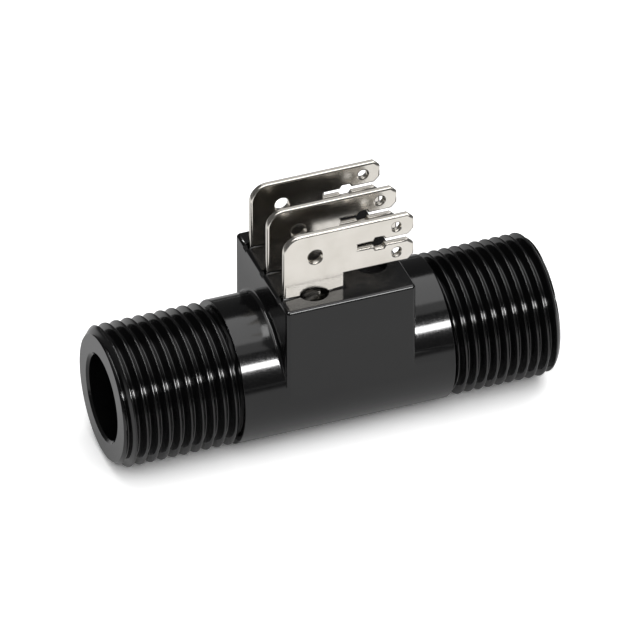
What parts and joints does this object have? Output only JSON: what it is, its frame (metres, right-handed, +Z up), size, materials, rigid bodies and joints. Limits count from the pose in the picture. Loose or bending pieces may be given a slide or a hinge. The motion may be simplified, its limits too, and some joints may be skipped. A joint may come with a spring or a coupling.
{
  "type": "turbine flow sensor",
  "caption": "Inline turbine flow sensor: black threaded tee-shaped tube with a helical-bladed rotor inside and a terminal box carrying flag-shaped blade terminals.",
  "frame": {"origin": "bottom centre of the overall box: on the surface that the barrel lies on, halfway between the two end faces, below the flow axis", "axes": "+X along the flow axis from the inlet to the outlet, +Z up through the terminal box, the flow axis is 8.4 mm above the origin"},
  "size_m": [0.053, 0.0168, 0.0292],
  "materials": {
    "housing_plastic": "semi-gloss black moulding",
    "plated_blade": "satin nickel plating on stamped brass",
    "circuit_board": "solder mask",
    "chip_package": "moulded epoxy",
    "chip_ceramic": "fired ceramic",
    "tinned_lead": "tinned",
    "resin": "cast black epoxy",
    "spider_plastic": "fine moulded",
    "bearing_ceramic": "lapped",
    "jewel": "polished",
    "rotor_plastic": "natural acetal",
    "shaft_steel": "ground and polished",
    "magnet": "sintered ferrite"
  },
  "bodies": {
    "housing": {"body": "housing_plastic", "terminal_cap": "housing_plastic", "terminal_supply": "plated_blade", "terminal_signal": "plated_blade", "terminal_ground": "plated_blade", "sensor_board": "circuit_board", "hall_sensor": "chip_package", "hall_leads": "tinned_lead", "pull_up_resistor": "chip_package", "bypass_capacitor": "chip_ceramic", "potting_resin": "resin", "inlet_spider": "spider_plastic", "inlet_bearing": "bearing_ceramic", "inlet_thrust_jewel": "jewel", "outlet_spider": "spider_plastic", "outlet_bearing": "bearing_ceramic", "outlet_thrust_jewel": "jewel"},
    "turbine": {"rotor": "rotor_plastic", "rotor_shaft": "shaft_steel", "rotor_magnet": "magnet", "magnet_retainer": "rotor_plastic"}
  },
  "joints": [
    {"name": "rotor_spin", "type": "hinge", "parent": "housing", "child": "turbine", "pos_m": [0.00062, 0, 0.0084], "axis": [1, 0, 0], "continuous": true}
  ]
}
